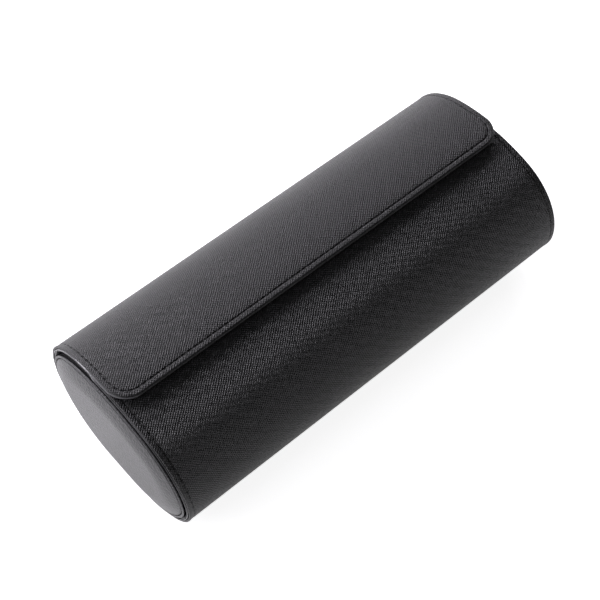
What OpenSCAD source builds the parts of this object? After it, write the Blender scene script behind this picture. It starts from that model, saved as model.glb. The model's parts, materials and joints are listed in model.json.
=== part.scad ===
// Travel case for three watches: a soft-edged oval roll, 200 mm long.
// A lined tray with two oval ends and two dividers sits in a stiffened leather wrap. The wrap's front
// leaf closes over the front and the top, and its flap closes from the back over the leaf.
// X runs along the case, -Y is the front, +Z is up, and z = 0 is the surface that the case lies on.

/* [Wrap section] */
// Length of the wrap along the case
wrap_l = 200; // [170:1:260]
// Width of the wrap at its widest, front to back
wrap_w = 88.6; // [84:0.2:94]
// Height of the widest line above the table
waist_z = 33; // [31:0.5:35]
// Height of the front leaf's crown above the table
crown_z = 65.3; // [64:0.1:67]
// Radius of the section just above its widest line
shoulder_r = 30; // [28:0.5:31]
// Radius of the section just below its widest line
hip_r = 23.5; // [21:0.5:26]
// Radius of the section where it runs into its flat underside
keel_r = 38; // [36:1:42]

/* [Wrap layers] */
// Thickness of the outer leather
leather_t = 0.8; // [0.6:0.1:1]
// Thickness of the stiffener board in the flap and the front leaf
board_t = 1.2; // [1.2:0.1:1.4]
// Thickness of the suede lining on the flap and the front leaf
lining_t = 0.4; // [0.3:0.1:0.5]
// Width of leather left unstiffened beside each folding line
fold_w = 2.5; // [2:0.5:4]

/* [Flap] */
// How far the flap's edge reaches past the middle, towards the front
flap_reach = 8; // [4:1:12]
// How far the flap's crown stands above the front leaf's crown
flap_lift = 2.9; // [2.9:0.1:3.4]
// Radius of the flap's two free corners
flap_corner_r = 10; // [6:0.5:14]
// Radius of the flap just above its folding line
flap_shoulder_r = 34; // [33.5:0.1:34.2]

/* [Front leaf] */
// How far the leaf's edge reaches past the middle, towards the back
leaf_reach = 20; // [14:1:22]
// Radius of the leaf's two hidden free corners
leaf_corner_r = 10; // [6:0.5:14]
// Angle of the leaf's folding line round the keel, from straight down
leaf_fold_angle = 37; // [34:1:38]

/* [Hidden closure] */
// Diameter of the magnets and of the steel discs that they hold
magnet_d = 10; // [8:0.5:10]
// Thickness of the magnets and of the steel discs
magnet_t = 0.8; // [0.6:0.1:0.8]
// Distance between the two magnets
magnet_pitch = 110; // [80:5:140]

/* [Ends] */
// Gap between the outside of the wrap and the outline of the oval ends
end_inset = 2.9; // [2.8:0.1:3.2]
// How far each end stands out past the wrap's side edge
end_proud = 0.9; // [0.5:0.1:1.5]
// Thickness of the leather on the ends
end_leather_t = 0.7; // [0.6:0.1:0.9]
// Thickness of the foam pad under that leather
end_foam_t = 1.2; // [0.8:0.1:1.5]
// Thickness of the board in each end
end_board_t = 2; // [1.5:0.1:2.5]
// Thickness of the suede on the inside of each end
end_lining_t = 0.5; // [0.4:0.1:0.7]

/* [Tray] */
// Height of the tray's front and back walls
tray_z = 32; // [26:1:32]
// Thickness of the tray's board
tray_board_t = 1.5; // [1.2:0.1:1.8]
// Thickness of the tray's suede lining
tray_lining_t = 0.6; // [0.5:0.1:0.8]
// Thickness of the board in each divider
divider_board_t = 2; // [1.5:0.5:2.5]
// Thickness of the suede that covers each divider
divider_cover_t = 0.5; // [0.4:0.1:0.6]
// How far the dividers' top outline stays inside the wrap
divider_inset = 3.6; // [3.4:0.1:5]

/* [Cushions] */
// Width of a cushion along the case
cushion_l = 53; // [44:1:54]
// Width of a cushion, front to back
cushion_w = 60; // [52:1:62]
// Height of a cushion
cushion_h = 39; // [34:1:40]
// Radius of a cushion's front and back
cushion_side_r = 16; // [14:1:17]
// Thickness of the cushion's suede
cushion_cover_t = 0.8; // [0.6:0.1:1]
// Gap under a cushion
cushion_gap = 0.6; // [0.5:0.1:1]

/* [Hidden] */
half_w = wrap_w / 2;
half_l = wrap_l / 2;
panel_t = leather_t + board_t + lining_t;
// Gap between two panels along a folding line
fold_gap = 0.3;
// Gap round a magnet or a steel disc in its board
pocket_gap = 0.2;
// Angle between two points along an arc of a section
arc_step = 4;
// A length past every part of the case, and a short one that lets a cut run clear through
far = 200;
overcut = 1;

// Half the width of the flat underside, where the two keel arcs start
keel_y = half_w - hip_r - sqrt(pow(keel_r - hip_r, 2) - pow(keel_r - waist_z, 2));

end_x = half_l + end_proud;
end_foam_x = end_x - end_leather_t;
end_board_x = end_foam_x - end_foam_t;
end_lining_x = end_board_x - end_board_t;
tray_x = end_lining_x - end_lining_t;

tray_lining_inset = end_inset + tray_board_t;
tray_inner_inset = tray_lining_inset + tray_lining_t;
divider_t = divider_board_t + 2 * divider_cover_t;
bay_l = (2 * tray_x - 2 * divider_t) / 3;
divider_x = bay_l / 2 + divider_t / 2;
bay_pitch = bay_l + divider_t;

cushion_z = tray_inner_inset + cushion_gap + cushion_h / 2;

// Colours
leather_color = "#2b2b2e";
end_color = "#6a696b";
suede_color = "#3a3a3f";
cushion_color = "#47474d";
board_color = "#8d8578";
foam_color = "#d9d3c3";
steel_color = "#b9bcc2";

// ---- Section of the case, drawn front to back (y) and up (z) ----

// Points along an arc
function arc(c, r, a0, a1) =
    let (n = ceil(abs(a1 - a0) / arc_step))
    [for (i = [0:n]) let (a = a0 + (a1 - a0) * i / n) c + r * [cos(a), sin(a)]];

// Radius of the crown arc that runs smoothly into a shoulder arc
function crown_r(rise, shoulder) =
    (pow(half_w - shoulder, 2) + rise * rise - shoulder * shoulder) / (2 * (rise - shoulder));

// Back half of the outline, from the underside to the crown, moved inwards by d
function half_outline(rise, shoulder, d) =
    let (
        keel_c = [keel_y, keel_r],
        hip_c = [half_w - hip_r, waist_z],
        shoulder_c = [half_w - shoulder, waist_z],
        crown_c = [0, waist_z + rise - crown_r(rise, shoulder)],
        keel_end = atan2(hip_c.y - keel_c.y, hip_c.x - keel_c.x),
        shoulder_end = atan2(shoulder_c.y - crown_c.y, shoulder_c.x)
    )
    concat(
        arc(keel_c, keel_r - d, -90, keel_end),
        arc(hip_c, hip_r - d, keel_end, 0),
        arc(shoulder_c, shoulder - d, 0, shoulder_end),
        arc(crown_c, crown_r(rise, shoulder) - d, shoulder_end, 90)
    );

// The whole closed outline
module outline(rise, shoulder, d) {
    back = half_outline(rise, shoulder, d);
    front = [for (i = [len(back) - 1:-1:0]) [-back[i].x, back[i].y]];
    polygon(concat(back, front));
}

// Outline of the base and the front leaf, and of all that they hold
module case_outline(d) {
    outline(crown_z - waist_z, shoulder_r, d);
}

// Outline of the flap, which starts level with the base and ends above the front leaf
module flap_outline(d) {
    outline(crown_z - waist_z + flap_lift, flap_shoulder_r, d);
}

// Lays a section along the case between two stations
module along(x0, x1) {
    translate([x0, 0, 0])
        rotate([90, 0, 90])
            linear_extrude(x1 - x0)
                children();
}

// ---- Wrap: base, flap and front leaf ----

leaf_fold_dir = [-sin(leaf_fold_angle), -cos(leaf_fold_angle)];
leaf_fold_c = [-keel_y, keel_r];

// Everything on the leaf's side of its folding line, moved away from the line by gap
module leaf_side(gap) {
    away = gap * [leaf_fold_dir.y, -leaf_fold_dir.x];
    polygon([
        leaf_fold_c + away,
        leaf_fold_c + away + far * leaf_fold_dir,
        [-far, -far],
        [-far, far],
        [leaf_reach, far],
        [leaf_reach, waist_z],
    ]);
}

// Everything between the two folding lines, kept back from both of them by gap
module base_side(gap) {
    away = -gap * [leaf_fold_dir.y, -leaf_fold_dir.x];
    polygon([
        leaf_fold_c + away,
        leaf_fold_c + away + far * leaf_fold_dir,
        [far, -far],
        [far, waist_z - gap],
        [0, waist_z - gap],
    ]);
}

// Plan of a panel whose free edge is at y = edge and faces dir, -1 for the front or 1 for the back.
// Its two free corners are rounded, and the whole plan is drawn in by d.
module panel_plan(edge, dir, corner, d) {
    half = half_l - d;
    r = corner - d;
    round_y = edge - dir * corner;
    linear_extrude(far) {
        for (side = [-1, 1])
            translate([side * (half - r), round_y])
                circle(r, $fn = 64);
        translate([r - half, round_y - r])
            square([2 * (half - r), 2 * r]);
        translate([-half, dir > 0 ? round_y - far : round_y])
            square([2 * half, far]);
    }
}

// The wall between two depths under the case's outline
module case_wall(d0, d1) {
    difference() {
        case_outline(d0);
        case_outline(d1);
    }
}

module base_section(d0, d1, gap) {
    intersection() {
        case_wall(d0, d1);
        base_side(gap);
    }
}

module leaf_section(d0, d1, gap) {
    intersection() {
        case_wall(d0, d1);
        leaf_side(gap);
    }
}

module flap_section(d0, d1, gap) {
    intersection() {
        difference() {
            flap_outline(d0);
            flap_outline(d1);
        }
        translate([-flap_reach - overcut, waist_z + gap])
            square([far, far]);
    }
}

// A layer of the flap, with its edges drawn in by d
module flap_layer(d0, d1, gap, d) {
    intersection() {
        along(-half_l, half_l) flap_section(d0, d1, gap);
        panel_plan(-flap_reach, -1, flap_corner_r, d);
    }
}

// A layer of the front leaf, with its edges drawn in by d
module leaf_layer(d0, d1, gap, d) {
    intersection() {
        along(-half_l, half_l) leaf_section(d0, d1, gap);
        panel_plan(leaf_reach, 1, leaf_corner_r, d);
    }
}

// Leather of the underside and the back, turned in over the board along both side edges
module base_leather() {
    color(leather_color) {
        along(-half_l, half_l) base_section(0, leather_t, fold_gap / 2);
        for (x = [-half_l, half_l - leather_t])
            along(x, x + leather_t) base_section(0, panel_t, fold_gap / 2);
    }
}

module base_board() {
    color(board_color)
        along(leather_t - half_l, half_l - leather_t)
            base_section(leather_t, end_inset, fold_w);
}

// Leather of the flap, turned in over the board along its three free edges
module flap_leather() {
    color(leather_color)
        difference() {
            flap_layer(0, panel_t, fold_gap / 2, 0);
            flap_layer(leather_t, panel_t + overcut, -overcut, leather_t);
        }
}

module flap_board() {
    color(board_color)
        difference() {
            flap_layer(leather_t, leather_t + board_t, fold_w, leather_t);
            closure_discs(flap_lift, magnet_d + 2 * pocket_gap, board_t + overcut);
        }
}

module flap_lining() {
    color(suede_color)
        flap_layer(leather_t + board_t, panel_t, fold_w, leather_t);
}

module flap_magnets() {
    color(steel_color) closure_discs(flap_lift, magnet_d, magnet_t);
}

// Leather of the front leaf, turned in over the board along its three free edges
module leaf_leather() {
    color(leather_color)
        difference() {
            leaf_layer(0, panel_t, fold_gap / 2, 0);
            leaf_layer(leather_t, panel_t + overcut, -overcut, leather_t);
        }
}

module leaf_board() {
    color(board_color)
        difference() {
            leaf_layer(leather_t, leather_t + board_t, fold_w, leather_t);
            closure_discs(0, magnet_d + 2 * pocket_gap, board_t + overcut);
        }
}

module leaf_lining() {
    color(suede_color)
        leaf_layer(leather_t + board_t, panel_t, fold_w, leather_t);
}

module leaf_steel_discs() {
    color(steel_color) closure_discs(0, magnet_d, magnet_t);
}

// Two discs at the crown, centred in the board of the panel that stands lift above the leaf's crown
module closure_discs(lift, d, t) {
    z = crown_z + lift - leather_t - board_t / 2;
    for (side = [-1, 1])
        translate([side * magnet_pitch / 2, 0, z])
            cylinder(h = t, d = d, center = true, $fn = 48);
}

// ---- Tray: boards, linings, ends and dividers ----

module tray_section(d0, d1) {
    intersection() {
        case_wall(d0, d1);
        translate([-far / 2, 0])
            square([far, tray_z]);
    }
}

module tray_board() {
    color(board_color)
        along(-tray_x, tray_x) tray_section(end_inset, tray_lining_inset);
}

module tray_lining() {
    color(suede_color)
        along(-tray_x, tray_x) tray_section(tray_lining_inset, tray_inner_inset);
}

// The right end's pieces, from the outside in. The left end is their mirror image.
module end_leather() {
    difference() {
        along(tray_x, end_x) case_outline(end_inset);
        along(tray_x - overcut, end_foam_x) case_outline(end_inset + end_leather_t);
    }
}

module end_layer(x0, x1) {
    along(x0, x1) case_outline(end_inset + end_leather_t);
}

module right_end_leather() color(end_color) end_leather();
module right_end_foam() color(foam_color) end_layer(end_board_x, end_foam_x);
module right_end_board() color(board_color) end_layer(end_lining_x, end_board_x);
module right_end_lining() color(suede_color) end_layer(tray_x, end_lining_x);

module left_end_leather() mirror([1, 0, 0]) right_end_leather();
module left_end_foam() mirror([1, 0, 0]) right_end_foam();
module left_end_board() mirror([1, 0, 0]) right_end_board();
module left_end_lining() mirror([1, 0, 0]) right_end_lining();

// A divider stands on the tray's lining and, above the tray's walls, widens over their edges
module divider_outline(d) {
    case_outline(tray_inner_inset + d);
    intersection() {
        case_outline(divider_inset + d);
        translate([-far / 2, tray_z + d])
            square([far, far]);
    }
}

module divider_board(x) {
    color(board_color)
        along(x - divider_board_t / 2, x + divider_board_t / 2)
            divider_outline(divider_cover_t);
}

// Suede folded over the divider's board, with its two edges glued down under it
module divider_cover(x) {
    color(suede_color)
        difference() {
            along(x - divider_t / 2, x + divider_t / 2) divider_outline(0);
            along(x - divider_board_t / 2, x + divider_board_t / 2) {
                divider_outline(divider_cover_t);
                translate([-keel_y, 0])
                    square([2 * keel_y, waist_z]);
            }
        }
}

module left_divider_board() divider_board(-divider_x);
module left_divider_cover() divider_cover(-divider_x);
module right_divider_board() divider_board(divider_x);
module right_divider_cover() divider_cover(divider_x);

// ---- Cushions ----

// A cushion's section: flattened oval, with round front and back and a gently bowed top and bottom
module cushion_outline(d) {
    bow_r = (pow(cushion_w / 2 - cushion_side_r, 2) + pow(cushion_h / 2, 2) - pow(cushion_side_r, 2))
        / (2 * (cushion_h / 2 - cushion_side_r));
    bow_end = atan2(bow_r - cushion_h / 2, cushion_w / 2 - cushion_side_r);
    side_c = cushion_w / 2 - cushion_side_r;
    top_right = concat(
        arc([side_c, 0], cushion_side_r - d, 0, bow_end),
        arc([0, cushion_h / 2 - bow_r], bow_r - d, bow_end, 90)
    );
    n = len(top_right) - 1;
    translate([0, cushion_z])
        polygon(concat(
            top_right,
            [for (i = [n:-1:0]) [-top_right[i].x, top_right[i].y]],
            [for (i = [0:n]) [-top_right[i].x, -top_right[i].y]],
            [for (i = [n:-1:0]) [top_right[i].x, -top_right[i].y]]
        ));
}

module cushion_core(x) {
    half = cushion_l / 2 - cushion_cover_t;
    color(foam_color)
        along(x - half, x + half) cushion_outline(cushion_cover_t);
}

// Suede band sewn round the core
module cushion_band(x) {
    half = cushion_l / 2 - cushion_cover_t;
    color(cushion_color)
        along(x - half, x + half)
            difference() {
                cushion_outline(0);
                cushion_outline(cushion_cover_t);
            }
}

// Two oval suede pieces that close the band's ends
module cushion_sides(x) {
    color(cushion_color)
        for (side = [-1, 1])
            translate([x + side * (cushion_l - cushion_cover_t) / 2, 0, 0])
                along(-cushion_cover_t / 2, cushion_cover_t / 2)
                    cushion_outline(0);
}

module left_cushion_core() cushion_core(-bay_pitch);
module left_cushion_band() cushion_band(-bay_pitch);
module left_cushion_sides() cushion_sides(-bay_pitch);
module middle_cushion_core() cushion_core(0);
module middle_cushion_band() cushion_band(0);
module middle_cushion_sides() cushion_sides(0);
module right_cushion_core() cushion_core(bay_pitch);
module right_cushion_band() cushion_band(bay_pitch);
module right_cushion_sides() cushion_sides(bay_pitch);

base_leather();
base_board();
flap_leather();
flap_board();
flap_lining();
flap_magnets();
leaf_leather();
leaf_board();
leaf_lining();
leaf_steel_discs();
tray_board();
tray_lining();
left_end_leather();
left_end_foam();
left_end_board();
left_end_lining();
right_end_leather();
right_end_foam();
right_end_board();
right_end_lining();
left_divider_board();
left_divider_cover();
right_divider_board();
right_divider_cover();
left_cushion_core();
left_cushion_band();
left_cushion_sides();
middle_cushion_core();
middle_cushion_band();
middle_cushion_sides();
right_cushion_core();
right_cushion_band();
right_cushion_sides();
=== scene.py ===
import json
import math

import bmesh
import bpy
import numpy as np
from mathutils import Matrix, Vector, noise
from mathutils.bvhtree import BVHTree


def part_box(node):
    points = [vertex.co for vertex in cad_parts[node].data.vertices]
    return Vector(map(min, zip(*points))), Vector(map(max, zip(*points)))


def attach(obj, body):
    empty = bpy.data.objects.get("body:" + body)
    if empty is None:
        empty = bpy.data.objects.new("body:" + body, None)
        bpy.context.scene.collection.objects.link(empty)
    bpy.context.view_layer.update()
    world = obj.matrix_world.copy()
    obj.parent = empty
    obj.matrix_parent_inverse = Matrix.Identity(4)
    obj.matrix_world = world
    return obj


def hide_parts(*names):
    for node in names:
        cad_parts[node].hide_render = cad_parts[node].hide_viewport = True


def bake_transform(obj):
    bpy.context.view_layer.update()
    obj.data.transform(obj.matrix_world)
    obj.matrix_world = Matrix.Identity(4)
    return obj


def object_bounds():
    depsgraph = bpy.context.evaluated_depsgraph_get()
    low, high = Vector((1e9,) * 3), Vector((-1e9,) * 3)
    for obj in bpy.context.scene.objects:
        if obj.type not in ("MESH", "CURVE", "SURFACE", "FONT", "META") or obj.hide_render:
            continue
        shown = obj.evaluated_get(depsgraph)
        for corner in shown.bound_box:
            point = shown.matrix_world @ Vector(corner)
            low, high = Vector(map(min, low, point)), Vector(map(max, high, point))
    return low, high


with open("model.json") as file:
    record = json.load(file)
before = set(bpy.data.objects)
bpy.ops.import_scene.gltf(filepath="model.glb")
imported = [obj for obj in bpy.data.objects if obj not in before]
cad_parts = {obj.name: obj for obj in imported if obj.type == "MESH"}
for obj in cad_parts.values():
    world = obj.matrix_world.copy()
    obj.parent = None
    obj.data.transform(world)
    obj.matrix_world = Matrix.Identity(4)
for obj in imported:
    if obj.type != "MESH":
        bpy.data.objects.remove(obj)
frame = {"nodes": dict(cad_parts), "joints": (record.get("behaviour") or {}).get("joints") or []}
cad_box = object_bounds()

# ---- Wrap leather ----
# One cut of black cross-grained leather goes right round the case: front leaf, underside, back
# and flap. Its edges are turned over the boards and sewn down. It is made here in two halves that
# meet under the case, because each half folds along a line of its own.

MM = 0.001
hinge = {j["name"]: j["pos_m"] for j in frame["joints"] if j["type"] == "hinge"}
half_w, waist_z = hinge["flap_hinge"][1:]
half_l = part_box("base_leather")[1].x
crown_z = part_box("leaf_leather")[1].z
flap_crown_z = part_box("flap_leather")[1].z
flap_reach = -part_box("flap_leather")[0].y
leaf_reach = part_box("leaf_leather")[1].y

keel_r = 38 * MM
hip_r = 23.5 * MM
shoulder_r = 30 * MM
flap_shoulder_r = 34 * MM
corner_r = 10 * MM
fold_reach = 3 * MM
leaf_strip_y, leaf_strip_z = -0.27 * fold_reach, 0.53 * fold_reach

leather_t = 0.8 * MM
roll_in = 0.5 * MM
roll_t = 1.05 * MM
border_tilt = 0.2 * MM
panel_sink = 0.14 * MM
stitch_in = 2.4 * MM
groove_depth = 0.15 * MM
groove_half = 0.3 * MM
stitch_pitch = 3 * MM

arc_steps = 240
corner_steps = 24
roll_steps = 10
long_step = 3 * MM
panel_step = 2 * MM
fold_step = 0.4 * MM
border_step = 0.3 * MM
groove_step = 0.14 * MM
inner_step = 1.3 * MM


class Girth:
    """The section's outline, by the distance along it from the middle of the underside.

    side is 1 for up the back and over to the front, and -1 for up the front and over to the back.
    reach is how far the outline runs past the middle of the top.
    """

    def __init__(self, side, rise, shoulder, reach):
        keel_y = half_w - hip_r - math.sqrt((keel_r - hip_r) ** 2 - (keel_r - waist_z) ** 2)
        crown_r = ((half_w - shoulder) ** 2 + rise**2 - shoulder**2) / (2 * (rise - shoulder))
        hip_y, shoulder_y, crown_c = half_w - hip_r, half_w - shoulder, waist_z + rise - crown_r
        keel_end = math.atan2(waist_z - keel_r, hip_y - keel_y)
        shoulder_end = math.atan2(waist_z - crown_c, shoulder_y)
        crown_end = math.acos(-reach / crown_r)
        rows = [np.array([[0, 0, 0, -math.pi / 2]])]
        run = keel_y
        for centre_y, centre_z, r, first, last in (
            (keel_y, keel_r, keel_r, -math.pi / 2, keel_end),
            (hip_y, waist_z, hip_r, keel_end, 0),
            (shoulder_y, waist_z, shoulder, 0, shoulder_end),
            (0, crown_c, crown_r, shoulder_end, crown_end),
        ):
            a = np.linspace(first, last, arc_steps)
            y, z = centre_y + r * np.cos(a), centre_z + r * np.sin(a)
            rows.append(np.stack([run + r * (a - first), y, z, a], 1))
            run += r * (last - first)
        self.side, self.length = side, run
        self.s, self.y, self.z, self.turn = np.concatenate(rows).T

    def station(self, turn):
        """The distance at which the way out of the surface has turned to this angle from level."""
        return float(np.interp(turn, self.turn, self.s))

    def place(self, x, s, depth):
        """Points at x along the case, s round it, and depth under its surface."""
        a = np.interp(s, self.s, self.turn)
        y = np.interp(s, self.s, self.y) - depth * np.cos(a)
        z = np.interp(s, self.s, self.z) - depth * np.sin(a)
        return np.stack(np.broadcast_arrays(x, self.side * y, z), -1)


back = Girth(1, flap_crown_z - waist_z, flap_shoulder_r, flap_reach)
front = Girth(-1, crown_z - waist_z, shoulder_r, leaf_reach)
back.fold = back.station(0)
front.fold = float(np.interp(hinge["leaf_hinge"][2], front.z, front.s))


def spaced(first, last, step):
    """Evenly spaced stations, no further apart than step."""
    return np.linspace(first, last, max(2, math.ceil((last - first) / step) + 1))


def girth_stations(girth, first):
    """Stations from first to where the free edge's corners start, closer together at the fold."""
    last = girth.length - corner_r
    near, far = max(first, girth.fold - 2 * fold_reach), girth.fold + 2 * fold_reach
    runs = [spaced(first, near, panel_step)] if first < near else []
    runs += [spaced(near, far, fold_step), spaced(far, last, panel_step)]
    return np.unique(np.round(np.concatenate(runs), 7))


def smooth(t):
    """0 up to t = 0, 1 from t = 1, and a soft S between them."""
    t = np.clip(t, 0, 1)
    return t * t * (3 - 2 * t)


def sewn_surface(u):
    """Depth of the face at u in from a sewn edge: a sloping border, a groove, then the lower panel."""
    groove = groove_depth * np.exp(-(((u - stitch_in) / groove_half) ** 2))
    border = border_tilt * np.clip((u - roll_in) / (stitch_in - roll_in), 0, 1)
    return groove + border + (panel_sink - border_tilt) * smooth((u - stitch_in) / groove_half)


def border_stations(first, last):
    """Stations in from an edge, close together round its row of stitches."""
    near, far = stitch_in - 2 * groove_half, stitch_in + 3 * groove_half
    runs = ((first, near, border_step), (near, far, groove_step), (far, last, inner_step))
    return np.concatenate([spaced(start, end, step)[1:] for start, end, step in runs])


def roll(width, top, bottom, steps):
    """Half a turn round an edge, from its bottom to its top: distance in, and depth."""
    a = np.linspace(0, math.pi, steps)
    return width * (1 - np.sin(a) ** 0.6), (top + bottom) / 2 + (bottom - top) / 2 * np.cos(a)


def flat_run(u, w):
    """How far in along the leather each ring lies, measured so that the last one lies at its u."""
    step = np.hypot(np.diff(u), np.diff(w))
    return u[-1] - np.append(np.cumsum(step[::-1])[::-1], 0)


def leather_rings():
    """The rings of a turned edge on its outer face, and as many on its hidden face."""
    u0, w0 = roll(roll_in, float(sewn_surface(roll_in)), roll_t, roll_steps)
    u1 = border_stations(roll_in, corner_r)
    u, w = np.append(u0, u1), np.append(w0, sewn_surface(u1))
    run = flat_run(u, w)
    hidden_u = np.append([leather_t] * 2, np.linspace(leather_t, corner_r, len(u) - 1)[1:])
    hidden_w = np.append([roll_t], np.full(len(u) - 1, leather_t))
    return (u, w, run), (hidden_u, hidden_w, hidden_u)


def edged_grid(girth, stations, rings):
    """A panel's face, as a grid whose outer rows follow its two sides, its free edge and its corners.

    rings holds the rows' distance in from the edge, their depth, and their distance along the
    leather, from the edge to the corners' centre. Gives the points, the flat pattern's x and s,
    and each point's ring.
    """
    u, w, run = (np.asarray(r) for r in rings)
    k = len(u) - 1
    mid = half_l - corner_r
    mid_x = spaced(-mid, mid, long_step)
    nx, ns = 2 * k + len(mid_x), len(stations) + k
    side = np.minimum(np.minimum(np.arange(nx), np.arange(nx)[::-1]), k)[:, None]
    free = np.minimum(np.arange(ns)[::-1], k)[None, :]
    ring, other = np.minimum(side, free), np.maximum(side, free)
    a = np.where(ring < k, (k - other) / np.maximum(k - ring, 1), 0) * math.pi / 4
    sign = np.where(np.arange(nx) < nx / 2, -1, 1)[:, None]
    all_x = np.concatenate([np.zeros(k), mid_x, np.zeros(k)])[:, None]
    all_s = np.concatenate([stations, np.zeros(k)])[None, :]

    def spread(inward):
        near = corner_r - (corner_r - inward[ring]) * np.cos(a)
        far = corner_r - (corner_r - inward[ring]) * np.sin(a)
        from_side, from_free = np.where(side <= free, near, far), np.where(side <= free, far, near)
        x = np.where(side < k, sign * (half_l - from_side), all_x)
        s = np.where(free < k, girth.length - from_free, all_s)
        return np.broadcast_arrays(x, s)

    x, s = spread(u)
    return girth.place(x, s, w[ring]), np.stack(spread(run), -1), ring


def new_piece(name, points, faces, **maps):
    """A mesh object from points and faces. maps are its flat patterns, each kept as a UV map."""
    mesh = bpy.data.meshes.new(name)
    mesh.from_pydata([tuple(p) for p in points], [], [tuple(f) for f in faces])
    mesh.polygons.foreach_set("use_smooth", [True] * len(mesh.polygons))
    corner = np.zeros(len(mesh.loops), np.int32)
    mesh.loops.foreach_get("vertex_index", corner)
    for title, flat in maps.items():
        layer = mesh.uv_layers.new(name=title)
        layer.data.foreach_set("uv", np.asarray(flat, np.float32)[corner].ravel())
    work = bmesh.new()
    work.from_mesh(mesh)
    bmesh.ops.recalc_face_normals(work, faces=work.faces)
    work.to_mesh(mesh)
    work.free()
    piece = bpy.data.objects.new(name, mesh)
    bpy.context.scene.collection.objects.link(piece)
    return piece


def edge_run(girth, u, first=0):
    """Points (x, s) along a line that stays u in from a half's sides, corners and free edge."""
    last = girth.length - corner_r
    s = girth_stations(girth, first)
    a = np.linspace(0, math.pi / 2, corner_steps)
    mid = half_l - corner_r
    x = spaced(-mid, mid, long_step)[1:-1]
    arc_x, arc_s = (corner_r - u) * np.cos(a), (corner_r - u) * np.sin(a)
    xs = [np.full(len(s) - 1, u - half_l), -mid - arc_x, x]
    ss = [s[:-1], last + arc_s, np.full(len(x), girth.length - u)]
    xs += [mid + arc_x[::-1], np.full(len(s) - 1, half_l - u)]
    ss += [last + arc_s[::-1], s[:-1][::-1]]
    return np.concatenate(xs), np.concatenate(ss)


def sewn_line(girth, first=0):
    """The row of stitches: its points (x, s), the distance along it, and how many stitches it has."""
    x, s = edge_run(girth, stitch_in, first)
    run = np.append(0, np.cumsum(np.hypot(np.diff(x), np.diff(s))))
    return x, s, run, round(run[-1] / stitch_pitch)


def stitch_map(girth, x, s, ring_u):
    """For points of a half: how many stitches along the row they are, and mm in from it."""
    row_x, row_s, run, count = sewn_line(girth)
    samples = 4000
    t = np.linspace(0, run[-1], samples)
    row = np.stack([np.interp(t, run, row_x), np.interp(t, run, row_s)], -1)
    at = np.stack([x.ravel(), s.ravel()], -1)
    nearest = [int(np.argmin(((row - p) ** 2).sum(-1))) for p in at]
    return np.stack([t[nearest] / run[-1] * count, (ring_u.ravel() - stitch_in) / MM], -1)


def shell(name, girth, first, outer, inner):
    """A closed skin between two faces that share their edge ring, cut square at its first station."""
    far_from_row = 99.0
    stations = girth_stations(girth, first)
    p0, flat0, ring = edged_grid(girth, stations, outer)
    p1, flat1, _ = edged_grid(girth, stations, inner)
    nx, ns = ring.shape
    top = np.arange(nx * ns).reshape(nx, ns)
    under = np.where(ring == 0, top, top + nx * ns)
    faces = []
    for grid in (top, under):
        quads = np.stack([grid[:-1, :-1], grid[1:, :-1], grid[1:, 1:], grid[:-1, 1:]], -1)
        faces += quads.reshape(-1, 4).tolist()
    for i in range(nx - 1):
        cut = [top[i, 0], top[i + 1, 0], under[i + 1, 0], under[i, 0]]
        faces.append(list(dict.fromkeys(int(v) for v in cut)))
    points = np.concatenate([p0.reshape(-1, 3), p1.reshape(-1, 3)])
    flat = np.concatenate([flat0.reshape(-1, 2), flat1.reshape(-1, 2)])
    sewn = stitch_map(girth, flat0[..., 0], flat0[..., 1], np.asarray(outer[0])[ring])
    sewn = np.concatenate([sewn, np.full((nx * ns, 2), far_from_row)])
    keep = np.unique(np.concatenate(faces))
    index = np.full(len(points), -1)
    index[keep] = np.arange(len(keep))
    faces = [[int(index[v]) for v in f] for f in faces]
    flat = (flat * (1, girth.side))[keep]
    return new_piece(name, points[keep], faces, pattern=flat, stitches=sewn[keep])


def fold_with(piece, girth):
    """Bakes a piece of the wrap's placement into its mesh, and works out the strip along its half's
    fold.
    """
    if girth is back:
        body, at, way = "flap", (half_w, waist_z), (0, fold_reach)
    else:
        body, at, way = "front_leaf", hinge["leaf_hinge"][1:], (leaf_strip_y, leaf_strip_z)
    start, end = ((0, at[0] + k * way[0], at[1] + k * way[1]) for k in (-1, 1))
    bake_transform(piece)
    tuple(start)
    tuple(end)


wrap_back = shell("wrap_back_leather", back, 0, *leather_rings())
wrap_front = shell("wrap_front_leather", front, 0, *leather_rings())
fold_with(wrap_back, back)
fold_with(wrap_front, front)
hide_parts("base_leather", "flap_leather")
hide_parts("leaf_leather")


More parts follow.
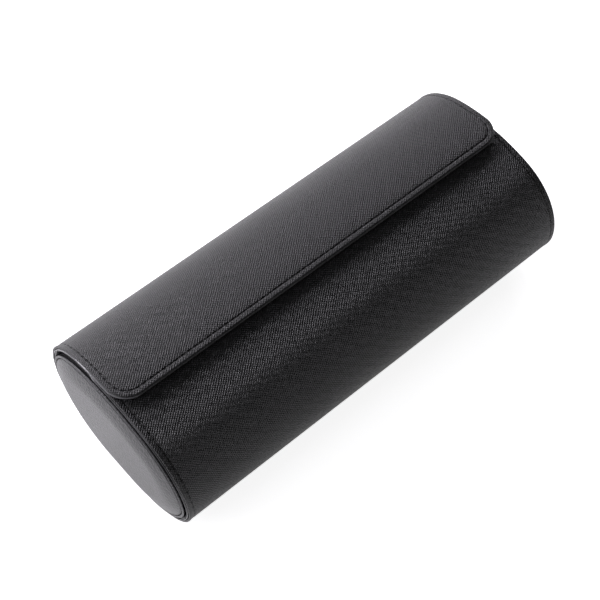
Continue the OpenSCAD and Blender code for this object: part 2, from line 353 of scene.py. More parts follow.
class Finish:
    """A material's node tree, with short ways to add and join nodes."""

    def __init__(self, name):
        self.material = bpy.data.materials.new(name)
        self.material.use_nodes = True
        self.nodes = self.material.node_tree.nodes
        self.shader = self.nodes["Principled BSDF"]

    def add(self, kind, inputs=None, **settings):
        node = self.nodes.new(kind)
        for key, value in settings.items():
            setattr(node, key, value)
        for key, value in (inputs or {}).items():
            if isinstance(value, bpy.types.NodeSocket):
                self.material.node_tree.links.new(value, node.inputs[key])
            else:
                node.inputs[key].default_value = value
        return node

    def math(self, operation, *values):
        node = self.add("ShaderNodeMath", dict(enumerate(values)), operation=operation)
        return node.outputs[0]

    def place(self):
        """Points in the piece's own space, in metres."""
        return self.add("ShaderNodeTexCoord").outputs["Object"]

    def noise(self, at, per_metre, detail):
        """Soft noise from 0 to 1, with about this many spots to a metre."""
        inputs = {"Vector": at, "Scale": per_metre, "Detail": detail}
        return self.add("ShaderNodeTexNoise", inputs).outputs[0]

    def ramp(self, value, *stops):
        """A colour ramp of (position, colour) stops, where a colour may be one grey number."""
        node = self.add("ShaderNodeValToRGB", {0: value})
        marks = node.color_ramp.elements
        while len(marks) < len(stops):
            marks.new(0.5)
        for mark, (position, colour) in zip(marks, stops):
            mark.position = position
            mark.color = (*([colour] * 3 if np.isscalar(colour) else colour), 1)
        return node.outputs[0]

    def link(self, value, socket):
        self.material.node_tree.links.new(value, self.shader.inputs[socket])

    def bump(self, height, distance):
        node = self.add("ShaderNodeBump", {"Height": height, "Distance": distance})
        self.link(node.outputs[0], "Normal")
        return node

    def dress(self, *objects):
        for o in objects:
            o.data.materials.clear()
            o.data.materials.append(self.material)


def ribs(m, pattern, turn, pitch, long, seed, wander, fade):
    """Height, from 0 to 1, of fine ribs side by side across turn, which wander and fade."""
    turned = m.add(
        "ShaderNodeMapping", {"Vector": pattern, "Rotation": (0, 0, -turn)}
    ).outputs[0]
    at = m.add(
        "ShaderNodeMapping",
        {"Vector": turned, "Location": (seed, seed, seed), "Scale": (1 / pitch, 3 / long, 1)},
    ).outputs[0]
    one_to_a_unit = math.pi / 10
    wave = m.add(
        "ShaderNodeTexWave",
        {
            "Vector": at,
            "Scale": one_to_a_unit,
            "Distortion": wander,
            "Detail": 2.0,
            "Detail Scale": 1.2,
        },
        bands_direction="X",
    ).outputs["Fac"]
    weak = m.noise(at, 0.7, 2.0)
    return m.math("MULTIPLY", wave, m.math("ADD", m.math("MULTIPLY", weak, fade), 0.7 - fade / 2))


def needle_holes(m, at, reach, width):
    """1 in the dents at both ends of each stitch, falling to 0 round them. Sizes are in mm."""
    hole_from_middle = 0.4
    along = m.math("ABSOLUTE", m.math("SUBTRACT", m.math("FRACT", at.outputs[0]), 0.5))
    along = m.math("MULTIPLY", m.math("SUBTRACT", along, hole_from_middle), stitch_pitch / MM / reach)
    aside = m.math("DIVIDE", at.outputs[1], width)
    far = m.math("ADD", m.math("MULTIPLY", along, along), m.math("MULTIPLY", aside, aside))
    return m.math("EXPONENT", m.math("MULTIPLY", far, -1.0))


def cross_grain(name, bold, fine):
    """Pressed grain: long ribs one way over the case, others across them, and a fine hatching.

    bold and fine are the heights of the ribs and of the hatching, in mm. The grain is pulled a little
    flatter where the leather is turned and sewn.
    """
    dent_reach, dent_width, dent_depth = 0.42, 0.34, 0.3
    m = Finish(name)
    pattern = m.add("ShaderNodeUVMap", uv_map="pattern").outputs[0]
    at = m.add("ShaderNodeSeparateXYZ", {0: m.add("ShaderNodeUVMap", uv_map="stitches").outputs[0]})
    height = 0.0
    for turn, pitch, long, seed, wander, fade, deep in (
        (50, 0.87, 7, 0.0, 1.8, 0.5, bold),
        (28, 0.95, 5, 3.7, 1.8, 0.5, 0.3 * bold),
        (131, 0.87, 5, 8.1, 1.8, 0.5, 0.7 * bold),
        (44, 0.44, 3, 1.9, 5.0, 0.7, fine),
        (137, 0.47, 3, 5.3, 5.0, 0.7, fine),
    ):
        rib = ribs(m, pattern, math.radians(turn), pitch * MM, long * MM, seed, wander, fade)
        height = m.math("ADD", m.math("MULTIPLY", rib, deep), height)
    pulled = m.add(
        "ShaderNodeMapRange",
        {"Value": at.outputs[1], "From Min": -0.5, "From Max": 2.5, "To Min": 0.65, "To Max": 1.0},
    ).outputs[0]
    height = m.math("MULTIPLY", height, pulled)
    dents = needle_holes(m, at, dent_reach, dent_width)
    bumps = m.math("MULTIPLY", m.math("SUBTRACT", height, m.math("MULTIPLY", dents, dent_depth)), MM)
    cloud = m.noise(pattern, 38.0, 2.0)
    # Painted shade: the base colour is darker in the grain's hollows and much darker in the needle
    # holes.
    tone = m.math("SUBTRACT", height, m.math("MULTIPLY", dents, 2.0))
    m.link(m.ramp(tone, (0.0, (0.003, 0.003, 0.003)), (0.3, (0.011, 0.011, 0.0115))), "Base Color")
    m.link(m.math("ADD", m.math("MULTIPLY", cloud, 0.1), 0.35), "Roughness")
    m.bump(bumps, 1.0)
    m.shader.inputs["Specular IOR Level"].default_value = 0.5
    return m


cross_grain("wrap_back_leather", 0.17, 0.05).dress(wrap_back)
cross_grain("wrap_front_leather", 0.32, 0.07).dress(wrap_front)

# ---- Backing of the wrap ----
# A second, smooth layer is sewn under the turned leather, and its folded edge stands out a little
# under the rolled edge. The back half's backing is coloured pale, a painted highlight that draws it
# as one thin bright line; the front half's is coloured dark, painted shade for the strip by the ends.

panel_t = 2.4 * MM
backing_out = 0.4 * MM
backing_fold = 0.6 * MM
backing_back = 0.35 * MM
lip_gap = 0.1 * MM
fold_steps = 9


def loop_skin(rows, closed):
    """Faces between successive rows of points, each row closed on itself or open, with end caps."""
    n, m = rows
    at = np.arange(n * m).reshape(n, m)
    faces = []
    for i in range(n if closed else n - 1):
        a, b = at[i], at[(i + 1) % n]
        faces += np.stack([a, b, np.roll(b, -1), np.roll(a, -1)], -1).tolist()
    if not closed:
        faces += [at[0].tolist(), at[-1][::-1].tolist()]
    return faces


def backing_profile():
    """Section of the backing's edge, as distance in and depth: a round fold over a set back lip."""
    top = roll_t + lip_gap
    bottom = top + backing_fold
    u, w = roll(leather_t + backing_out, top, bottom, fold_steps)
    lip_u = [leather_t, backing_back, backing_back]
    lip_w = [panel_t - lip_gap, panel_t - lip_gap, bottom]
    return np.append(lip_u, u[1:] - backing_out), np.append(lip_w, w[1:])


def swept_edge(name, girth):
    """The backing's profile, swept round a half's sides, corners and free edge."""
    u, w = backing_profile()
    lines = [girth.place(*edge_run(girth, uk), wk) for uk, wk in zip(u, w)]
    points = np.stack(lines, 1)
    flat = np.stack([np.broadcast_to(edge_run(girth, uk), (2, len(points))).T for uk in u], 1)
    faces = loop_skin(points.shape[:2], closed=False)
    return new_piece(name, points.reshape(-1, 3), faces, pattern=flat.reshape(-1, 2))


backing_of_back = swept_edge("wrap_back_backing_edge", back)
backing_of_front = swept_edge("wrap_front_backing_edge", front)
fold_with(backing_of_back, back)
fold_with(backing_of_front, front)


def smooth_leather(name, dark, light, roughness, grain, coarse=1):
    """Leather with only its own fine pores and pebbles, grain high, and larger where it is coarse."""
    pebbles, pores = 1100.0, 2600.0
    m = Finish(name)
    place = m.place()
    cells = m.add(
        "ShaderNodeTexVoronoi", {"Vector": place, "Scale": pebbles / coarse}, feature="DISTANCE_TO_EDGE"
    ).outputs[0]
    fine = m.noise(place, pores / coarse, 3.0)
    height = m.math("ADD", m.math("MINIMUM", cells, 0.25), m.math("MULTIPLY", fine, 0.5))
    m.link(m.ramp(fine, (0.3, dark), (0.7, light)), "Base Color")
    m.shader.inputs["Roughness"].default_value = roughness
    m.bump(height, grain)
    return m


# Pale colour on the back half's backing is a painted highlight; dark colour on the front half's is
# painted shade.
for piece, finish, dark, light in (
    (backing_of_back, "backing_leather", (0.13, 0.13, 0.134), (0.18, 0.18, 0.185)),
    (backing_of_front, "leaf_backing_leather", (0.03, 0.03, 0.032), (0.06, 0.06, 0.062)),
):
    smooth_leather(finish, dark, light, 0.22, 0.01 * MM).dress(piece)

# ---- Stitching ----
# Black thread is sewn through the wrap's turned edges, 3 mm to the stitch. Each stitch lies in the
# pressed groove with its two ends drawn down into the needle holes.

stitch_l = 2.3 * MM
thread_r = 0.19 * MM
thread_rings, thread_sides = 9, 8


def stitch_row(name, length, count, place, long=stitch_l, radius=thread_r, lean=0.12 * MM):
    """Separate stitches along a line. place(t, aside, depth) gives points at t along the line."""
    along = np.linspace(-1, 1, thread_rings)
    round_ = np.linspace(0, 2 * math.pi, thread_sides, endpoint=False)
    thick = radius * np.sqrt(np.clip(1 - 0.75 * np.abs(along) ** 5, 0, 1))
    dip = 2 * radius * np.abs(along) ** 3
    points, faces = [], []
    skin = np.array(loop_skin((len(along), len(round_)), closed=False)[:-2])
    for i in range(count):
        middle = (i + 0.5) * length / count
        t = middle + along[:, None] * long / 2 + 0 * round_[None, :]
        aside = lean * along[:, None] + thick[:, None] * 1.05 * np.cos(round_)[None, :]
        depth = dip[:, None] - thick[:, None] * np.sin(round_)[None, :]
        base = i * along.size * round_.size
        points.append(place(t.ravel(), aside.ravel(), depth.ravel()))
        faces += (skin + base).tolist()
        ends = np.arange(round_.size)
        faces.append((base + ends).tolist())
        faces.append((base + (along.size - 1) * round_.size + ends[::-1]).tolist())
    return new_piece(name, np.concatenate(points), faces)


def wrap_stitches(name, girth, depth_in, first=0, way=1):
    """A row of stitches round a half of the wrap, with their middles at depth_in.

    way is 1 on the outside of the wrap and -1 on its inside.
    """
    x, s, run, count = sewn_line(girth, first)
    further = edge_run(girth, stitch_in + MM, first)
    in_x, in_s = (inner - outer for inner, outer in zip(further, (x, s)))

    def place(t, aside, depth):
        px, ps = np.interp(t, run, x), np.interp(t, run, s)
        nx, ns = np.interp(t, run, in_x / MM), np.interp(t, run, in_s / MM)
        return girth.place(px + aside * nx, ps + aside * ns, depth_in + way * depth)

    return stitch_row(name, run[-1], count, place)


sunk = border_tilt + thread_r + 0.02 * MM
stitches_back = wrap_stitches("wrap_back_stitches", back, sunk)
stitches_front = wrap_stitches("wrap_front_stitches", front, sunk)
fold_with(stitches_back, back)
fold_with(stitches_front, front)


def thread(name, colour):
    """Twisted sewing thread, darker between its plies."""
    m = Finish(name)
    ply = m.add(
        "ShaderNodeTexWave",
        {"Vector": m.place(), "Scale": 2200.0, "Distortion": 1.0},
        bands_direction="DIAGONAL",
    ).outputs["Fac"]
    m.link(m.ramp(ply, (0.0, tuple(0.6 * c for c in colour)), (1.0, colour)), "Base Color")
    m.shader.inputs["Roughness"].default_value = 0.6
    m.bump(ply, 0.05 * MM)
    return m


black_thread = thread("black_thread", (0.006, 0.006, 0.0065))
black_thread.dress(stitches_back, stitches_front)

# ---- Linings of the flap and the front leaf ----
# A thin suede sheet is glued inside each panel and caught by the same stitches. It runs on across
# the fold, where there is no board, and down behind the wall of the tray.

lining_t = 0.35 * MM
lining_edge = 0.1 * MM
board_gap = 2.3 * MM
lining_follows = 0.6


def lining_rings():
    """The lining's rings: its face, which is sewn down like the leather's, and its glued side."""
    u = np.append(lining_edge, border_stations(lining_edge, corner_r))
    w = panel_t - lining_follows * sewn_surface(u)
    return (u, w, flat_run(u, w)), (u, w - lining_t, flat_run(u, w))


def suede(name, dark, light, nap):
    """Short-napped suede: a soft mottled colour, a fine fibrous surface and a light sheen."""
    m = Finish(name)
    cloud, fibre = m.noise(m.place(), 90.0, 4.0), m.noise(m.place(), 4200.0, 4.0)
    tone = m.math("ADD", m.math("MULTIPLY", cloud, 0.6), m.math("MULTIPLY", fibre, 0.4))
    m.link(m.ramp(tone, (0.38, dark), (0.62, light)), "Base Color")
    m.link(m.math("ADD", m.math("MULTIPLY", cloud, 0.1), 0.85), "Roughness")
    m.shader.inputs["Specular IOR Level"].default_value = 0.2
    m.shader.inputs["Sheen Weight"].default_value = 0.25
    m.shader.inputs["Sheen Roughness"].default_value = 0.5
    round_edge = m.add("ShaderNodeBevel", {"Radius": 0.3 * MM}).outputs[0]
    nap_bump = m.bump(fibre, nap)
    m.material.node_tree.links.new(round_edge, nap_bump.inputs["Normal"])
    return m


lining_suede = suede("lining_suede", (0.022, 0.022, 0.025), (0.04, 0.04, 0.044), 0.05 * MM)
for word, girth, node, board, stitches_word in (
    ("flap", back, "flap_lining", "flap_board", "wrap_back"),
    ("leaf", front, "leaf_lining", "leaf_board", "wrap_front"),
):
    first = girth.fold - board_gap
    sheet = shell(f"{word}_lining_sheet", girth, first, *lining_rings())
    seam = wrap_stitches(f"{stitches_word}_inner_stitches", girth, panel_t - thread_r, first, -1)
    for piece, finish, slot in (
        (sheet, lining_suede, "lining_suede"),
        (seam, black_thread, "wrap_leather"),
    ):
        fold_with(piece, girth)
        finish.dress(piece)
    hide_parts(node)

# ---- Ends ----
# Each oval end is a board with a thin foam pad, covered in smooth leather that is turned over its
# edge and sewn round. Only the swelled leather face and its rolled rim show.

end_inset = 2.9 * MM
end_x = cad_box[1].x
end_back_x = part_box("right_end_lining")[0].x
end_skin_t = 0.7 * MM
end_rim = -0.2 * MM
end_bead_r = 0.5 * MM
end_stitch_in = 1.2 * MM
end_groove = 0.55 * MM
end_groove_half = 0.32 * MM
end_dome = 2.1 * MM
dome_run = 10.5 * MM
deepest_ring = 19 * MM
end_deep = end_x - end_back_x
end_wall = ((0.12 * MM, end_deep), (0.12 * MM, 2.7 * MM), (0.14 * MM, 2.25 * MM), (0.3 * MM, 2.1 * MM))
bead_steps = 12
rim_zone, rim_step, face_step = 3.2 * MM, 0.13 * MM, 0.9 * MM
hidden_from = 1.5 * MM

oval = Girth(1, crown_z - waist_z, shoulder_r, 0)


def oval_loop(inset, s):
    """Points y, z right round the case's outline, moved in by inset.

    s runs up the back and on down the front.
    """
    folded = np.where(s <= oval.length, s, 2 * oval.length - s)
    p = oval.place(0, folded, inset)
    return np.where(s <= oval.length, p[..., 1], -p[..., 1]), p[..., 2]


def end_face(u):
    """How far in from the CAD end's plane the leather lies, at u in from the oval's edge."""
    swell = end_dome * np.sin(np.clip((u - end_stitch_in) / dome_run, 0, 1) * math.pi / 2)
    groove = end_groove * np.exp(-(((u - end_stitch_in) / end_groove_half) ** 2))
    return end_rim + groove - swell


def end_profiles():
    """The cover's outer and hidden sections, from the wall's back to the deepest ring: in, and deep."""
    a = np.linspace(0, math.pi, bead_steps)
    bead_u = end_bead_r * (1 - np.sin(a))
    bead_w = end_bead_r * (1 + np.cos(a)) + float(end_face(np.array([end_bead_r]))[0])
    face_u = np.concatenate(
        [spaced(end_bead_r, rim_zone, rim_step)[1:], spaced(rim_zone, deepest_ring, face_step)[1:]]
    )
    wall_u, wall_w = np.array(end_wall).T
    outer_u = np.concatenate([wall_u, bead_u, face_u])
    outer_w = np.concatenate([wall_w, bead_w, end_face(face_u)])
    hidden_u = face_u[face_u > hidden_from]
    inner_u = np.append([end_skin_t, end_skin_t], hidden_u)
    inner_w = np.append([end_deep, end_skin_t], end_face(hidden_u) + end_skin_t)
    return (outer_u, outer_w), (inner_u, inner_w)


def end_cover(name, side):
    """Cover of one end, in rings from the face's middle over the rim to the wall's back, and inside."""
    loop = spaced(0, 2 * oval.length, face_step)[:-1]
    (outer_u, outer_w), (inner_u, inner_w) = end_profiles()
    rows = []
    for u, w in zip(np.append(outer_u[::-1], inner_u), np.append(outer_w[::-1], inner_w)):
        y, z = oval_loop(end_inset + u, loop)
        rows.append(np.stack([np.full(len(y), side * (end_x - w)), y, z], -1))
    middle = np.array([0, 0, oval_loop(deepest_ring, loop)[1].mean()])

    def closing(row):
        """Smaller rings that close a face from its last row inwards, and the place of its middle."""
        rings = [middle + (row - middle) * (1, k, k) for k in (0.8, 0.6, 0.4, 0.2)]
        return rings, middle + (row[0, 0], 0, 0)

    (outer_rings, outer_hub), (inner_rings, inner_hub) = closing(rows[0]), closing(rows[-1])
    rings = np.stack(outer_rings[::-1] + rows + inner_rings)
    n, m = rings.shape[:2]
    faces = loop_skin((n, m), closed=False)[:-2]
    for j in range(m):
        faces.append([j, (j + 1) % m, n * m])
        faces.append([(n - 1) * m + (j + 1) % m, (n - 1) * m + j, n * m + 1])
    points = np.concatenate([rings.reshape(-1, 3), [outer_hub, inner_hub]])
    return new_piece(name, points, faces, pattern=points[:, 1:])


def end_stitches(name, side):
    """The row of smaller stitches that lies in the groove round an end."""

    def place(t, aside, depth):
        y, z = oval_loop(end_inset + end_stitch_in + aside, t % (2 * oval.length))
        return np.stack([side * (end_x - depth - end_rim - 0.6 * end_groove), y, z], -1)

    count = round(2 * oval.length / stitch_pitch)
    return stitch_row(name, 2 * oval.length, count, place, radius=0.17 * MM, lean=0.06 * MM)


end_leather = smooth_leather(
    "end_leather", (0.022, 0.022, 0.0235), (0.05, 0.05, 0.052), 0.34, 0.34 * MM, coarse=2.2
)
for side, word in ((-1, "left"), (1, "right")):
    cover = end_cover(f"{word}_end_cover", side)
    sewing = end_stitches(f"{word}_end_stitches", side)
    end_leather.dress(cover)
    black_thread.dress(sewing)
    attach(cover, "case")
    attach(sewing, "case")
    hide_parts(f"{word}_end_leather")

# ---- Tray ----
# Inside stands a trough of board, lined with suede that is turned over its two long top edges.
# Two suede-covered dividers part it into three bays, and a suede disc closes each end.

tray_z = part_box("tray_board")[1].z
tray_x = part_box("tray_board")[1].x
tray_out = end_inset
tray_board_in = 4.4 * MM
tray_lining_in = 5 * MM
turned_t = 0.35 * MM
turned_down = 1.2 * MM
turned_corner, turned_round, turned_slant = 0.25 * MM, 0.4 * MM, 0.1 * MM
glue_t = 0.02 * MM


def tray_outline():
    """Half the lining's section, from its face at the bottom, over the wall's top, to its back."""
    top = float(np.interp(tray_z, oval.z[: len(oval.z) // 2], oval.s[: len(oval.s) // 2]))
    s = spaced(0, top, 1.5 * MM)
    face = [(tray_lining_in, t) for t in s]
    over = [
        (tray_lining_in - turned_slant, top + turned_corner),
        (tray_lining_in - turned_round, top + turned_t),
        (tray_out + turned_slant, top + turned_t),
        (tray_out - turned_t + turned_slant, top + turned_corner),
        (tray_out - turned_t, top),
        (tray_out - turned_t, top - turned_down),
        (tray_out, top - turned_down),
        (tray_out, top + glue_t),
        (tray_board_in, top + glue_t),
    ]
    glued = [(tray_board_in, t) for t in s[::-1]]
    w, t = np.array(face + over + glued).T
    return oval.place(0, t, w)[:, 1:]


half_section = tray_outline()
section = np.concatenate([half_section, half_section[::-1] * (-1, 1)])
stations = spaced(-tray_x, tray_x, 8 * MM)
points = np.stack([np.column_stack([np.full(len(section), x), section]) for x in stations])
tray_suede = new_piece(
    "tray_lining_sheet", points.reshape(-1, 3), loop_skin(points.shape[:2], closed=False)
)
lining_suede.dress(tray_suede)
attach(tray_suede, "case")
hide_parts("tray_lining")
for name in ("left_divider_cover", "right_divider_cover", "left_end_lining", "right_end_lining"):
    lining_suede.dress(frame["nodes"][name])

# ---- Boards and closure ----
# Pressed greyboard stiffens every panel. The base and tray boards are coloured black all over.
# Two magnets lie in the flap's board, over two steel discs in the leaf's, and the ends' pads are foam.


def pressed_board(name, dark, light):
    """Board pressed from pulp, with pale and dark flecks."""
    m = Finish(name)
    fleck = m.noise(m.place(), 1500.0, 5.0)
    m.link(m.ramp(fleck, (0.35, dark), (0.6, light)), "Base Color")
    m.shader.inputs["Roughness"].default_value = 0.85
    m.bump(fleck, 0.06 * MM)
    return m


greyboard = pressed_board("greyboard", (0.16, 0.14, 0.115), (0.27, 0.245, 0.21))
black_board = pressed_board("black_board", (0.008, 0.008, 0.008), (0.018, 0.018, 0.018))
black_board.dress(frame["nodes"]["base_board"], frame["nodes"]["tray_board"])
for name, node in frame["nodes"].items():
    if name.endswith("_board") and name not in ("base_board", "tray_board"):
        greyboard.dress(node)


def open_cell_foam(name):
    m = Finish(name)
    cells = m.add("ShaderNodeTexVoronoi", {"Vector": m.place(), "Scale": 1600.0}).outputs[0]
    m.link(m.ramp(cells, (0.0, (0.45, 0.42, 0.35)), (0.6, (0.7, 0.66, 0.57))), "Base Color")
    m.shader.inputs["Roughness"].default_value = 0.95
    m.bump(cells, 0.2 * MM)
    return m


def plated_steel(name):
    m = Finish(name)
    haze = m.noise(m.place(), 700.0, 3.0)
    m.link(m.ramp(haze, (0.3, 0.5), (0.7, 0.62)), "Base Color")
    m.shader.inputs["Metallic"].default_value = 1.0
    m.link(m.math("ADD", m.math("MULTIPLY", haze, 0.2), 0.25), "Roughness")
    return m


open_cell_foam("pad_foam").dress(frame["nodes"]["left_end_foam"], frame["nodes"]["right_end_foam"])
plated_steel("closure_steel").dress(frame["nodes"]["flap_magnets"], frame["nodes"]["leaf_steel_discs"])

# ---- Cushions ----
# Three loose watch cushions, each a foam core in suede: a band sewn round it and an oval piece at
# each end. The seams stay drawn in while the filling swells the suede between them.

cushion_half = 24.5 * MM
cushion_in = 1.3 * MM
cushion_side_r = 16 * MM
cushion_swell = 2.6 * MM
seam_r = 0.55 * MM
skin_points, seam_points, cord_sides = 84, 180, 8
end_shares = (0.05, 0.17, 0.29, 0.41, 0.53, 0.65, 0.77, 0.89)


def cushion_section(box, inward, count):
    """Points (y, z) round a cushion's oval section, moved in from its CAD outline."""
    half_y, half_z = (box[1].y - box[0].y) / 2, (box[1].z - box[0].z) / 2
    side_y = half_y - cushion_side_r
    bow_r = (side_y**2 + half_z**2 - cushion_side_r**2) / (2 * (half_z - cushion_side_r))
    bow_end = math.atan2(bow_r - half_z, side_y)
    a, b = np.linspace(0, bow_end, 60), np.linspace(bow_end, math.pi / 2, 60)[1:]
    y = np.append(side_y + (cushion_side_r - inward) * np.cos(a), (bow_r - inward) * np.cos(b))
    z = np.append((cushion_side_r - inward) * np.sin(a), half_z - bow_r + (bow_r - inward) * np.sin(b))
    y = np.concatenate([y, -y[-2::-1], -y[1:], y[-2::-1]])
    z = np.concatenate([z, z[-2::-1], -z[1:], -z[-2::-1]])
    run = np.append(0, np.cumsum(np.hypot(np.diff(y), np.diff(z))))
    t = np.linspace(0, run[-1], count, endpoint=False)
    return np.stack([np.interp(t, run, y), np.interp(t, run, z) + (box[0].z + box[1].z) / 2], -1)


def cushion_blank(name, box, middle):
    """A cushion before it is filled: its two seams and a skin straight between them."""
    ring = cushion_section(box, cushion_in, skin_points)
    hub = np.array([0, ring[:, 1].mean()])
    end = [hub + (ring - hub) * k for k in end_shares]
    across = spaced(-cushion_half, cushion_half, 3.2 * MM)
    loops = [(-cushion_half, p) for p in end] + [(x, ring) for x in across]
    loops += [(cushion_half, p) for p in end[::-1]]
    rings = np.stack([np.column_stack([np.full(len(p), middle + x), p]) for x, p in loops])
    piece = new_piece(name, rings.reshape(-1, 3), loop_skin(rings.shape[:2], closed=False))
    held = piece.vertex_groups.new(name="seams")
    for row in (len(end), len(end) + len(across) - 1):
        held.add(list(range(row * len(ring), (row + 1) * len(ring))), 1.0, "REPLACE")
    return piece


def fill_cushion(piece):
    """Swells a cushion by air pressure with its seams held, and keeps the swollen shape.

    The seed gives the filling the same lumps on each run.
    """
    uneven, lumps_per_metre, lumps_seed, pressure, frames = 0.25 * MM, 70, 5, 4, 20
    start = [v.co.copy() for v in piece.data.vertices]
    bpy.context.view_layer.objects.active = piece
    noise.seed_set(lumps_seed)
    for v in piece.data.vertices:
        v.co += uneven * noise.noise_vector(v.co * lumps_per_metre)
    cloth = piece.modifiers.new("filling", "CLOTH")
    cloth.settings.vertex_group_mass = "seams"
    cloth.settings.use_pressure = True
    cloth.settings.uniform_pressure_force = pressure
    cloth.settings.effector_weights.gravity = 0
    for f in range(frames):
        bpy.context.scene.frame_set(1 + f)
    bpy.ops.object.modifier_apply(modifier=cloth.name)
    for v, p in zip(piece.data.vertices, start):
        move = v.co - p
        if move.length > cushion_swell:
            v.co = p + move * (cushion_swell / move.length)
    fine = piece.modifiers.new("fine", "SUBSURF")
    fine.levels = 1
    bpy.ops.object.modifier_apply(modifier=fine.name)
    piece.data.polygons.foreach_set("use_smooth", [True] * len(piece.data.polygons))


def cushion_seams(name, cushion, box, middle):
    """A thin corded seam round each end of a cushion, laid on its swollen surface."""
    surface = BVHTree.FromObject(cushion, bpy.context.evaluated_depsgraph_get())
    ring = cushion_section(box, cushion_in, seam_points)
    cord = np.linspace(0, 2 * math.pi, cord_sides, endpoint=False)
    torus = np.array(loop_skin((seam_points, cord_sides), closed=True))
    centre = np.array([0, ring[:, 1].mean()])
    points, faces = [], []
    for k, x in enumerate((-cushion_half, cushion_half)):
        for y, z in ring:
            spot = Vector((middle + x, y, z))
            near = surface.find_nearest(spot)[0]
            way = Vector((0, y - centre[0], z - centre[1])).normalized()
            across = Vector((math.copysign(1, x), 0, 0))
            points += [near + seam_r * (math.cos(c) * way + math.sin(c) * across) for c in cord]
        faces += (torus + k * seam_points * cord_sides).tolist()
    return new_piece(name, points, faces)


cushion_suede = suede("cushion_suede", (0.045, 0.045, 0.05), (0.07, 0.07, 0.076), 0.08 * MM)
for word in ("left", "middle", "right"):
    parts = [f"{word}_cushion_{part}" for part in ("core", "band", "sides")]
    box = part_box(parts[1])
    middle = (box[0].x + box[1].x) / 2
    cushion = cushion_blank(f"{word}_cushion_suede", box, middle)
    fill_cushion(cushion)
    seams = cushion_seams(f"{word}_cushion_seams", cushion, box, middle)
    cushion_suede.dress(cushion, seams)
    for piece in (cushion, seams):
        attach(piece, f"{word}_cushion")
    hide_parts(*parts)

# ---- Camera, light and floor ----
# A long lens looks down on the front left corner. Panels low behind the case rake light over the
# grain, weaker softboxes fill the two ends, and everything stands on one sheet of white paper.

camera_bearing, camera_dip = math.radians(41), math.radians(56.63)
camera_place = (-0.19975, -0.22215, 0.48333)
lens_mm, sensor_mm = 77.57, 36

look = Vector(
    (
        math.sin(camera_bearing) * math.cos(camera_dip),
        math.cos(camera_bearing) * math.cos(camera_dip),
        -math.sin(camera_dip),
    )
)
right = Vector((math.cos(camera_bearing), -math.sin(camera_bearing), 0))
up = right.cross(look)
camera = bpy.data.objects.new("camera", bpy.data.cameras.new("camera"))
camera.data.lens = lens_mm
camera.data.sensor_width = sensor_mm
camera.data.clip_start = 0.01
turned = Matrix((right, up, -look)).transposed().to_4x4()
camera.matrix_world = Matrix.Translation(camera_place) @ turned
bpy.context.scene.collection.objects.link(camera)
bpy.context.scene.camera = camera

heart = (0, 0, 0.03)
lamp_far = 1.1
lamp_colour = (1.0, 0.97, 1.05)


def softbox(name, bearing, rise, size, power):
    """A panel aimed at the case, at a bearing clockwise from behind it and an angle up."""
    a, e = math.radians(bearing), math.radians(rise)
    way = (math.sin(a) * math.cos(e), math.cos(a) * math.cos(e), math.sin(e))
    lamp = bpy.data.objects.new(name, bpy.data.lights.new(name, "AREA"))
    lamp.data.shape = "RECTANGLE"
    lamp.data.size, lamp.data.size_y = size
    lamp.data.energy = power
    lamp.data.color = lamp_colour
    lamp.location = Vector(heart) + lamp_far * Vector(way)
    lamp.rotation_euler = (-Vector(way)).to_track_quat("-Z", "Y").to_euler()
    bpy.context.scene.collection.objects.link(lamp)


for name, bearing, rise, size, power in (
    ("back_left_panel", -20, 30, (0.7, 0.3), 8.6),
    ("back_right_panel", 20, 29, (0.7, 0.3), 4.0),
    ("side_back_panel", -60, 29, (0.7, 0.3), 1.8),
    ("high_left_softbox", 270, 60, (0.5, 0.5), 1.5),
    ("low_left_softbox", 275, 20, (0.8, 0.5), 0.8),
    ("low_right_softbox", 50, 12, (0.4, 0.35), 2.2),
):
    softbox(name, bearing, rise, size, power)


def pick(tree, ray, if_so, otherwise):
    """One value for rays of a kind and another for the rest."""
    node = tree.nodes.new("ShaderNodeMix")
    tree.links.new(ray, node.inputs["Factor"])
    for slot, value in (("A", otherwise), ("B", if_so)):
        if isinstance(value, bpy.types.NodeSocket):
            tree.links.new(value, node.inputs[slot])
        else:
            node.inputs[slot].default_value = value
    return node.outputs["Result"]


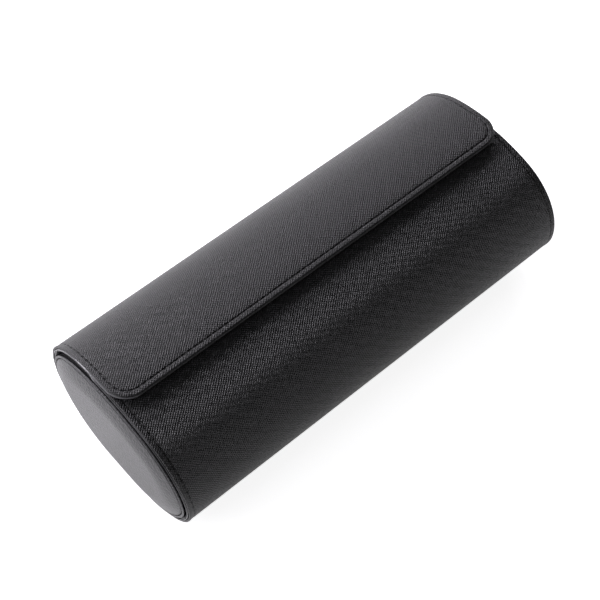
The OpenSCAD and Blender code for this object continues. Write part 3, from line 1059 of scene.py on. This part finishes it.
def by_ray(tree, seen, mirrored, otherwise):
    """A level for what the camera sees, one for what shows in gloss and glass, and one for the rest."""
    rays = tree.nodes.new("ShaderNodeLightPath").outputs
    either = tree.nodes.new("ShaderNodeMath")
    either.operation = "MAXIMUM"
    tree.links.new(rays["Is Glossy Ray"], either.inputs[0])
    tree.links.new(rays["Is Transmission Ray"], either.inputs[1])
    return pick(tree, rays["Is Camera Ray"], seen, pick(tree, either.outputs[0], mirrored, otherwise))


def studio_world():
    """White to the camera, and in gloss a pale band along the horizon that darkens upwards."""
    world = bpy.data.worlds.new("studio")
    world.use_nodes = True
    tree = world.node_tree
    height = tree.nodes.new("ShaderNodeSeparateXYZ")
    tree.links.new(tree.nodes.new("ShaderNodeTexCoord").outputs["Generated"], height.inputs[0])
    sweep = tree.nodes.new("ShaderNodeMapRange")
    tree.links.new(height.outputs[2], sweep.inputs["Value"])
    for slot, value in (("From Min", 0.0), ("From Max", 0.12), ("To Min", 0.4), ("To Max", 0.02)):
        sweep.inputs[slot].default_value = value
    tree.nodes["Background"].inputs[0].default_value = (1, 1, 1, 1)
    tree.links.new(by_ray(tree, 1.0, sweep.outputs[0], 0.1), tree.nodes["Background"].inputs[1])
    return world


def paper(name):
    """Matt white paper that keeps the case's shadow and glows a little to the camera and in gloss."""
    material = bpy.data.materials.new(name)
    material.use_nodes = True
    tree = material.node_tree
    diffuse = tree.nodes["Principled BSDF"]
    diffuse.inputs["Base Color"].default_value = (0.9, 0.9, 0.9, 1)
    diffuse.inputs["Roughness"].default_value = 1
    glow = tree.nodes.new("ShaderNodeEmission")
    tree.links.new(by_ray(tree, 0.86, 0.5, 0.0), glow.inputs[1])
    both = tree.nodes.new("ShaderNodeAddShader")
    tree.links.new(diffuse.outputs[0], both.inputs[0])
    tree.links.new(glow.outputs[0], both.inputs[1])
    tree.links.new(both.outputs[0], tree.nodes["Material Output"].inputs[0])
    return material


bpy.context.scene.world = studio_world()
bpy.ops.mesh.primitive_plane_add(size=40, location=(0, 0, 0))
floor = bpy.context.object
floor.name = "floor"
floor.data.materials.append(paper("paper_floor"))

bpy.context.scene.view_settings.view_transform = "Standard"
